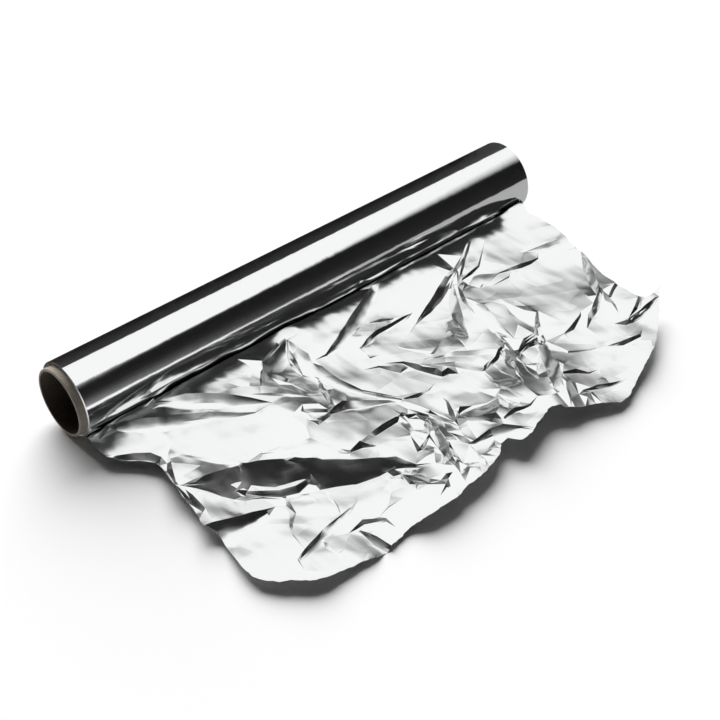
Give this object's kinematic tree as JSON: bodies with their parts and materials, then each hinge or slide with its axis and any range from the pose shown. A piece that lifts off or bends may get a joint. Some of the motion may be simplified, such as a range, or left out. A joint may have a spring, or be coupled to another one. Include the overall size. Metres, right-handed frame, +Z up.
{
  "type": "aluminium foil roll",
  "caption": "Roll of household aluminium foil on an open paperboard core, with its last length pulled off and lying crumpled in front.",
  "frame": {"origin": "on the core's axis, at the middle of the foil's width", "axes": "+X along the core towards its flush end, the loose foil towards -Y, +Z up; the table is at z = -0.0203"},
  "size_m": [0.304, 0.1929, 0.0406],
  "materials": {
    "paperboard": "spiral-wound grey paperboard, cut ends",
    "aluminium_foil": "rolled foil, bright side out"
  },
  "bodies": {
    "root": {"core_tube": "paperboard", "foil": "aluminium_foil"}
  },
  "joints": []
}
